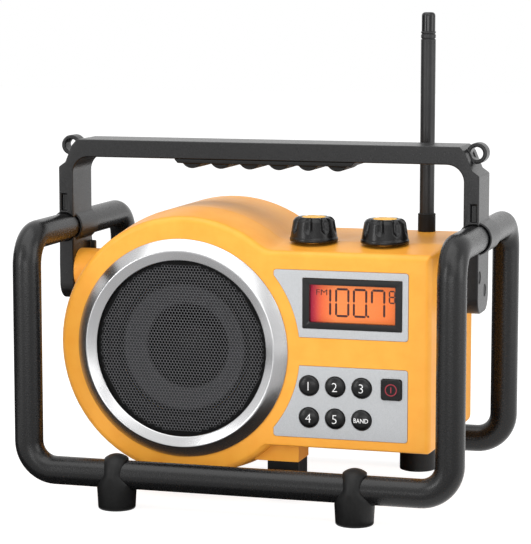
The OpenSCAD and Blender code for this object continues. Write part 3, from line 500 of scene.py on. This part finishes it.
dressed("front_shell", "yellow_plastic", 0.35)
dressed("rear_shell", "yellow_plastic", 0.35)
dressed("body_feet", "rubber", 0.8)
dressed("handle", "handle_plastic", 0.9, steps=3, weld=0.05)
dressed("handle_grip", "rubber", 0.6)
dressed("handle_screws", "dark_screw", 0.3)
dressed("battery_door", "yellow_plastic", 0.4)
dressed("door_latch", "black_plastic", 0.3)
dressed("jack_cover", "rubber", 0.4)


# ---- Speaker ----

def bezel_ring():
    """The plated ring: a wide outer slope, a rounded crest and an inner slope down to the grille."""
    inner = GRILLE_R + 0.3
    profile = [(76.7, 0), (76.7, 0.8), (69.6, 6.4), (68.9, 6.85), (68.4, 6.95), (67.8, 6.8),
               (inner + 0.8, 4.2), (inner + 0.1, 3.8), (inner, 3.2), (inner, 0)]
    profile = round_profile([(r, FACE_Y - out) for r, out in profile], 0.35, 3)
    outward(to_object("bezel_ring", *turned(profile, SPEAKER, steps=192), "chrome",
                      hidden=["speaker_bezel"], sharp=50, slot="chrome"))


def hexagon(x, y, z, r):
    """The corners of a six-sided hole or cell about a place on the grille."""
    return [(SPEAKER[0] + x + math.cos(a) * r, y, SPEAKER[1] + z + math.sin(a) * r)
            for a in (math.radians(60 * c + 30) for c in range(6))]


def grille():
    """A perforated sheet of six-sided cells, each with its hole, inside a plain rim. The cells' grey is
    painted sheen of the lit metal, and the rim keeps the sheet's black.
    """
    pitch, hole = 2.2, 1.06
    front, rear = FACE_Y - 1.4, FACE_Y - 1.0
    edge, rim, seat = GRILLE_R + 0.25, GRILLE_R - 3.2, GRILLE_R - 6
    row_step, cell = pitch * math.sqrt(3) / 2, pitch / math.sqrt(3)
    rows = int(rim / row_step) + 1
    parts = []
    for row in range(-rows, rows + 1):
        z = row * row_step
        for k in range(-rows - 2, rows + 3):
            x = (k + 0.5 * (row % 2)) * pitch
            if math.hypot(x, z) > rim + pitch * 0.3:
                continue
            points = hexagon(x, front, z, cell) + hexagon(x, front, z, hole) + hexagon(x, rear, z, hole)
            faces = [[band + c, band + (c + 1) % 6, band + 6 + (c + 1) % 6, band + 6 + c]
                     for band in (0, 6) for c in range(6)]
            parts.append((points, faces))
    ring = turned([(rim, front), (edge - 0.3, front + 0.1), (edge, front + 0.4), (edge, FACE_Y),
                   (seat, FACE_Y), (rim, rear)], SPEAKER)
    # The cells carry the grey of painted sheen; the rim is the sheet's plain black.
    piece = to_object("grille_sheet", *joined(parts + [ring]), "grille_mesh", hidden=["speaker_grille"],
                      sharp=30, slot="grille_mesh")
    piece.data.materials.append(LOOKS["grille_rim"])
    for face in piece.data.polygons[-len(ring[1]):]:
        face.material_index = 1


bezel_ring()
grille()

# ---- Panels and display ----

dressed("display_panel", "silver_panel", 0.25)
dressed("button_panel", "silver_panel", 0.25)
dressed("display_bezel", "gloss_black", 0.3)
dressed("lcd_module", "lcd_field", 0.1)

SEGMENTS = {"0": "abcdef", "1": "ef", "7": "abcf", "8": "abcdefg"}
# Symbol, left end and foot from the window's lower left corner, width, height, stroke
DIGITS = [
    ("1", 13.7, 4.4, 0.1, 18.4, 1.5),
    ("0", 17.9, 4.4, 8.6, 18.4, 1.5),
    ("0", 30.4, 4.4, 8.6, 18.4, 1.5),
    ("7", 43.0, 4.4, 8.6, 18.4, 1.5),
    ("8", 55.2, 14.6, 3.7, 8.0, 1.0),
]
DOT_X, DOT_Z, DOT_R = 40.4, 4.7, 0.8
WORD_X, WORD_Z, WORD_SIZE, WORD_W = 7.7, 20.3, 5.6, 7.8


def flat_shapes(name, shapes, y, look, body=ROOT, slot=None):
    """Flat outlines in X and Z as thin plates that face the front."""
    parts = []
    for shape in shapes:
        n = len(shape)
        verts = [(x, y - INK, z) for x, z in shape] + [(x, y, z) for x, z in shape]
        faces = [list(range(n)), list(range(n, 2 * n))[::-1]]
        faces += [[j, (j + 1) % n, n + (j + 1) % n, n + j] for j in range(n)]
        parts.append((verts, faces))
    return outward(to_object(name, *joined(parts), look, body, sharp=30, slot=slot))


def bar(x0, z0, x1, z1, stroke):
    """One segment of a digit, pointed at both ends, with a little room at each."""
    a, b = Vector((x0, z0)), Vector((x1, z1))
    along = (b - a).normalized()
    side = Vector((-along.y, along.x)) * stroke / 2
    a, b = a + along * stroke * 0.12, b - along * stroke * 0.12
    tip = along * stroke / 2
    return [tuple(p) for p in (a, a + tip + side, b - tip + side, b, b - tip - side, a + tip - side)]


def digit(symbol, x, z, w, h, stroke):
    """Bars of a seven-segment digit whose lower left corner is at x, z."""
    right, top, half = x + w, z + h, z + h / 2
    ends = {
        "a": (x, top, right, top), "b": (right, top, right, half), "c": (right, half, right, z),
        "d": (x, z, right, z), "e": (x, z, x, half), "f": (x, half, x, top), "g": (x, half, right, half),
    }
    return [bar(*ends[s], stroke) for s in SEGMENTS[symbol]]


def text_mesh(words, size, width, weight, longest=0.8):
    """Flat letters as points in X and Z about the origin, in millimetres, with their faces.

    A width stretches them, and the weight thickens or thins them as a share of their size. Their long
    edges are cut so that they can follow a dome.
    """
    data = bpy.data.curves.new("letters", "FONT")
    data.body = words
    data.size = size
    data.align_x, data.align_y = "CENTER", "CENTER"
    data.offset = size * weight
    data.resolution_u = 3
    obj = bpy.data.objects.new("letters", data)
    bpy.context.scene.collection.objects.link(obj)
    mesh = bpy.data.meshes.new_from_object(obj.evaluated_get(bpy.context.evaluated_depsgraph_get()))
    bpy.data.objects.remove(obj)
    bm = bmesh.new()
    bm.from_mesh(mesh)
    bmesh.ops.triangulate(bm, faces=bm.faces)
    for _ in range(3):
        long = [e for e in bm.edges if e.calc_length() > longest]
        bmesh.ops.subdivide_edges(bm, edges=long, cuts=1)
        bmesh.ops.triangulate(bm, faces=bm.faces)
    points = [(v.co.x, v.co.y) for v in bm.verts]
    faces = [[v.index for v in f.verts] for f in bm.faces]
    bm.free()
    xs, zs = [p[0] for p in points], [p[1] for p in points]
    mid = ((min(xs) + max(xs)) / 2, (min(zs) + max(zs)) / 2)
    stretch = width / (max(xs) - min(xs)) if width else 1
    return [((x - mid[0]) * stretch, z - mid[1]) for x, z in points], faces


def display_print():
    """The digits with their dot, and the wave band's word."""
    shapes = []
    for symbol, x, z, w, h, stroke in DIGITS:
        shapes += digit(symbol, WINDOW_LEFT + x, WINDOW_FOOT + z, w, h, stroke)
    x, z = WINDOW_LEFT + DOT_X, WINDOW_FOOT + DOT_Z
    turns = [math.pi * k / 6 for k in range(12)]
    shapes.append([(x + DOT_R * math.cos(a), z + DOT_R * math.sin(a)) for a in turns])
    flat_shapes("display_digits", shapes, LCD_Y, "lcd_ink", slot="lcd")
    x, z = WINDOW_LEFT + WORD_X, WINDOW_FOOT + WORD_Z
    points, faces = text_mesh("FM", WORD_SIZE, WORD_W, 0.0)
    points = [(x + u, LCD_Y - INK, z + v) for u, v in points]
    to_object("display_word", points, faces, "lcd_ink", slot="lcd")


display_print()

# ---- Buttons ----

# Share of the radius, and drop from the crest
DOME = [(0, 0), (0.43, 0.2), (0.74, 0.7), (0.94, 1.4), (1, 2.1)]
LEGEND_LIFT = 0.12


def dome_y(r):
    """The face of a round button at a radius."""
    return CREST_Y + float(np.interp(r / BUTTON_R, [p[0] for p in DOME], [p[1] for p in DOME]))


def round_button(body, words):
    """A domed button with its legend laid on the dome."""
    node = "band_button" if body == "band" else body.replace("preset_", "preset_button_")
    dressed(node, "knob_plastic", 0.2, angle=50)
    x, _, z = middle(node)
    size, width, weight = (4.4, 10.2, 0.006) if words == "BAND" else (9.2, None, -0.016)
    points, faces = text_mesh(words, size, width, weight)
    to_object(body + "_legend", [(x + u, dome_y(math.hypot(u, v)) - LEGEND_LIFT, z + v) for u, v in points],
              faces, "white_print", body)


def power_symbol():
    """A ring and a bar."""
    inner, outer, half_w, half_h = 3.5, 4.2, 0.35, 2.0
    ring = turned([(inner, POWER_Y - INK), (outer, POWER_Y - INK), (outer, POWER_Y), (inner, POWER_Y)],
                  (POWER_X, POWER_Z), steps=64)
    outward(to_object("power_ring", *ring, "red_print", "power", sharp=40))
    left, right, low, high = POWER_X - half_w, POWER_X + half_w, POWER_Z - half_h, POWER_Z + half_h
    outline = [(left, low), (right, low), (right, high), (left, high)]
    flat_shapes("power_bar", [outline], POWER_Y, "red_print", "power")


for body, words in LEGENDS.items():
    round_button(body, words)
dressed("power_button", "knob_plastic", 0.7, steps=3)
power_symbol()


# ---- Knobs ----

KNOB_STEPS = 192
FLUTES, FLUTE_HALF, FLUTE_DEEP, FLUTE_AT_R = 8, 2.9, 2.2, 14.5


def flute(angle, r, h):
    """How deep the droplet-shaped flutes cut into a knob at an angle, radius and height."""
    if r <= 10.8 or h <= 3:
        return 0
    off = (angle * FLUTES / (2 * math.pi) + 0.5) % 1 - 0.5
    across = abs(off) * 2 * math.pi * FLUTE_AT_R / FLUTES
    half = FLUTE_HALF * smooth((h - 5) / 3.4) * (1 - 0.1 * smooth((h - 12) / 4))
    if half <= 0.05 or across >= half:
        return 0
    return FLUTE_DEEP * (1 - (across / half) ** 2) * smooth((h - 4.8) / 4.5)


def knob(body):
    """A fluted knob, hollow over the nut and bored for its shaft, with its disc."""
    x, y, _ = middle(body + "_knob_cap")
    skirt = [(15.2, 0), (KNOB_R - 0.5, 0), (KNOB_R - 0.1, 0.25), (KNOB_R, 0.7), (KNOB_R, 1.9),
             (KNOB_R - 0.15, 2.4), (KNOB_R - 0.45, 2.8)]
    side = [(KNOB_R - 0.5 - 1.9 * (h - 3) / 11.4, h) for h in np.linspace(3.4, 14.2, 22)]
    crown = [(14.0, 14.8), (13.55, 15.5), (12.9, 16.1), (12.2, 16.6), (11.4, KNOB_H), (9.6, KNOB_H),
             (8.9, KNOB_H), (8.7, KNOB_H - 0.2), (8.4, KNOB_H - 0.9), (0, KNOB_H - 1)]
    inside = [(0, KNOB_H - 3), (3.05, KNOB_H - 3), (3.05, 4.6), (5.7, 4.6), (5.7, KNOB_H - 4),
              (12.2, KNOB_H - 4), (14.2, 0)]
    rings = []
    for r, h in skirt + side + crown + inside:
        ring = []
        for k in range(KNOB_STEPS):
            a = 2 * math.pi * k / KNOB_STEPS
            radius = max(r - flute(a, r, h), HAIR)
            ring.append((x + radius * math.cos(a), y + radius * math.sin(a), KNOB_Z + h))
        rings.append(ring)
    outward(to_object(body + "_knob_body", *ring_faces(rings), "knob_plastic", body,
                      hidden=[body + "_knob"], sharp=42, slot="gloss_black"))
    disc = [(0, -1), (8.2, -1), (8.2, -0.1), (8.0, 0.12), (7.6, 0.2), (6.6, 0.14), (0, 0.02)]
    disc = turned([(r, KNOB_Z + KNOB_H + h) for r, h in disc], (x, y), "Z", 96)
    outward(to_object(body + "_knob_disc", *disc, "disc_yellow", body,
                      hidden=[body + "_knob_cap"], slot="yellow_plastic"))


knob("volume")
knob("tuning")


# ---- Antenna ----

def antenna_boot():
    """The rubber sleeve, open for the pin below and the mast above."""
    outside, pin, bore = 6.4, 4.05, 5.35
    profile = [(pin, 0), (outside - 0.3, 0), (outside, 0.3)]
    profile += [(outside, h) for h in np.linspace(0.7, 11, 16)]
    profile += [(outside - 0.15, 11.15), (outside - 0.15, 11.4), (outside, 11.55), (outside, 12.7),
                (outside - 0.25, 13), (bore, 13)]
    profile += [(bore, h) for h in np.linspace(12.6, 6, 10)] + [(bore, 5.85), (pin, 5.8)]
    profile += [(pin, h) for h in np.linspace(5.2, 0.6, 8)]
    tube = turned([(r, SLEEVE_Z + h) for r, h in profile], ANTENNA, "Z", 64)
    sleeve = outward(to_object("antenna_boot", *tube, "rubber", slot="rubber"))
    sleeve.parent = None
    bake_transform(sleeve)
    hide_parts("antenna_sleeve")


dressed("antenna_mast", "black_plastic", 0.15)
dressed("antenna_tip", "gloss_black", 0.2)
antenna_boot()

# ---- What keeps its shape from the frame ----

INNER = {
    "cage_paint": ["cage_plugs"],
    "basket_paint": ["speaker_basket", "cone_surround", "dust_cap"],
    "cone_front": ["speaker_cone"],
    "steel": ["case_screws", "speaker_yoke", "button_switches", "volume_shaft", "volume_pot",
              "tuning_shaft", "tuning_encoder", "control_nuts", "battery_contacts", "dc_jack",
              "antenna_socket"],
    "ferrite": ["speaker_magnet", "ferrite_rod"],
    "spider_cloth": ["cone_spider"],
    "copper": ["voice_coil", "rod_coil"],
    "clear_window": ["display_window"],
    "circuit_board": ["button_board", "main_board"],
    "chips": ["board_components"],
    "black_plastic": ["battery_box"],
    "cell_jacket": ["battery_cells"],
}
for look, nodes in INNER.items():
    for node in nodes:
        mesh = frame["nodes"][node].data
        mesh.materials.clear()
        mesh.materials.append(LOOKS[look])

# ---- Stage: places and sizes in metres, powers in watts ----

FLOOR_HALF, CARD_Z = 6, 0.0015
FLOOR_GLOW, FLOOR_GREY = 0.86, 0.35
SKY_LIGHT, SKY_SEEN = 0.62, 1.0
# Place, aim, size and power
LAMPS = {
    "key": ((0.9, -1.6, 1.5), (0, 0, 0.12), (1.4, 1.4), 9),
    "top": ((-0.3, -0.6, 2.1), (0, 0, 0.15), (2.4, 2.0), 25),
    "side": ((2.0, -0.2, 0.7), (0, 0, 0.15), (1.2, 1.4), 12),
    "fill": ((-1.5, -1.8, 0.7), (0, 0, 0.14), (0.4, 1.3), 11),
    "low": ((0.3, -2.0, 0.25), (0, 0, 0.08), (1.2, 0.4), 5),
}


def floor_look():
    """A dull white that light falls on, and a glowing one where a ray shows the background."""
    m = Nodes("floor_white")
    m.link(m.between(m.noise(3, 2), "#f1f1f1", "#f5f5f5"), m.shader.inputs["Base Color"])
    m.shader.inputs["Roughness"].default_value = 0.9
    m.shader.inputs["Specular IOR Level"].default_value = 0.1
    white = m.add("ShaderNodeEmission")
    white.inputs["Strength"].default_value = FLOOR_GLOW
    thin = m.add("ShaderNodeBsdfDiffuse")
    thin.inputs["Color"].default_value = (FLOOR_GREY, FLOOR_GREY, FLOOR_GREY, 1)
    both = m.add("ShaderNodeAddShader")
    m.link(white.outputs["Emission"], both.inputs[0])
    m.link(thin.outputs["BSDF"], both.inputs[1])
    pick = m.add("ShaderNodeMixShader")
    m.link(seen_by(m.tree), pick.inputs["Fac"])
    m.link(m.shader.outputs["BSDF"], pick.inputs[1])
    m.link(both.outputs["Shader"], pick.inputs[2])
    m.link(pick.outputs["Shader"], m.tree.nodes["Material Output"].inputs["Surface"])
    return m.material


def sheet(name, points, material):
    """A four-sided sheet of the stage."""
    mesh = bpy.data.meshes.new(name)
    mesh.from_pydata([Vector(p) for p in points], [], [[0, 1, 2, 3]])
    mesh.materials.append(material)
    obj = bpy.data.objects.new(name, mesh)
    bpy.context.scene.collection.objects.link(obj)
    return obj


def lying(x0, x1, y0, y1, z):
    """The corners of a level sheet."""
    return [(x0, y0, z), (x1, y0, z), (x1, y1, z), (x0, y1, z)]


def card(name, points, look="card_grey"):
    """A card by the object, seen only in gloss: a painted reflection, so that the plated ring has something
    to mirror.
    """
    obj = sheet(name, points, LOOKS[look])
    obj.visible_camera = obj.visible_diffuse = obj.visible_transmission = obj.visible_shadow = False


def studio():
    """A world that is white where a ray shows it, and dimmer as light."""
    world = bpy.data.worlds.new("studio")
    bpy.context.scene.world = world
    world.use_nodes = True
    tree = world.node_tree
    tree.nodes.clear()
    out = tree.nodes.new("ShaderNodeOutputWorld")
    mix = tree.nodes.new("ShaderNodeMixShader")
    tree.links.new(seen_by(tree), mix.inputs["Fac"])
    for socket, strength in ((1, SKY_LIGHT), (2, SKY_SEEN)):
        white = tree.nodes.new("ShaderNodeBackground")
        white.inputs["Color"].default_value = (1, 1, 1, 1)
        white.inputs["Strength"].default_value = strength
        tree.links.new(white.outputs["Background"], mix.inputs[socket])
    tree.links.new(mix.outputs["Shader"], out.inputs["Surface"])


def lamp(name, place, aim, size, power):
    """A rectangular lamp that faces its aim."""
    data = bpy.data.lights.new(name, "AREA")
    data.shape = "RECTANGLE"
    data.size, data.size_y = size
    data.energy = power
    obj = bpy.data.objects.new(name, data)
    bpy.context.scene.collection.objects.link(obj)
    obj.location = place
    obj.rotation_euler = (Vector(aim) - Vector(place)).to_track_quat("-Z", "Y").to_euler()


sheet("floor", lying(-FLOOR_HALF, FLOOR_HALF, -FLOOR_HALF, FLOOR_HALF, 0), floor_look())
studio()
for name, (place, aim, size, power) in LAMPS.items():
    lamp(name, place, aim, size, power)
# Painted reflections: dark cards at the left and at the front left, and a pale one in front.
card("painted_reflection_left", [(-1.6, -0.35, 0.0), (-1.6, 0.9, 0.0), (-1.6, 0.9, 0.5), (-1.6, -0.35, 0.5)])
# Painted shadow and painted reflection: a dark card on the floor under the radio, where its shadow falls,
# reaching on to the left and back; seen only in gloss.
card("painted_shadow_card", lying(-1.6, 0.1, -0.13, 0.9, CARD_Z))
card("painted_reflection_side", lying(-1.6, -0.5, -0.5, -0.131, CARD_Z))
card("painted_reflection_front", lying(-0.3, 0.6, -1.0, -0.131, CARD_Z), "card_pale")

camera_data = bpy.data.cameras.new("camera")
camera_data.sensor_fit = "VERTICAL"
camera_data.sensor_height = 36
camera_data.lens = 148.0
camera_data.clip_end = 50
camera = bpy.data.objects.new("camera", camera_data)
bpy.context.scene.collection.objects.link(camera)
camera.location = (0.4458, -1.5251, 0.3573)
camera.rotation_euler = Vector((-0.28193, 0.95119, -0.12551)).to_track_quat("-Z", "Y").to_euler()
bpy.context.scene.camera = camera
bpy.context.scene.view_settings.view_transform = "Standard"
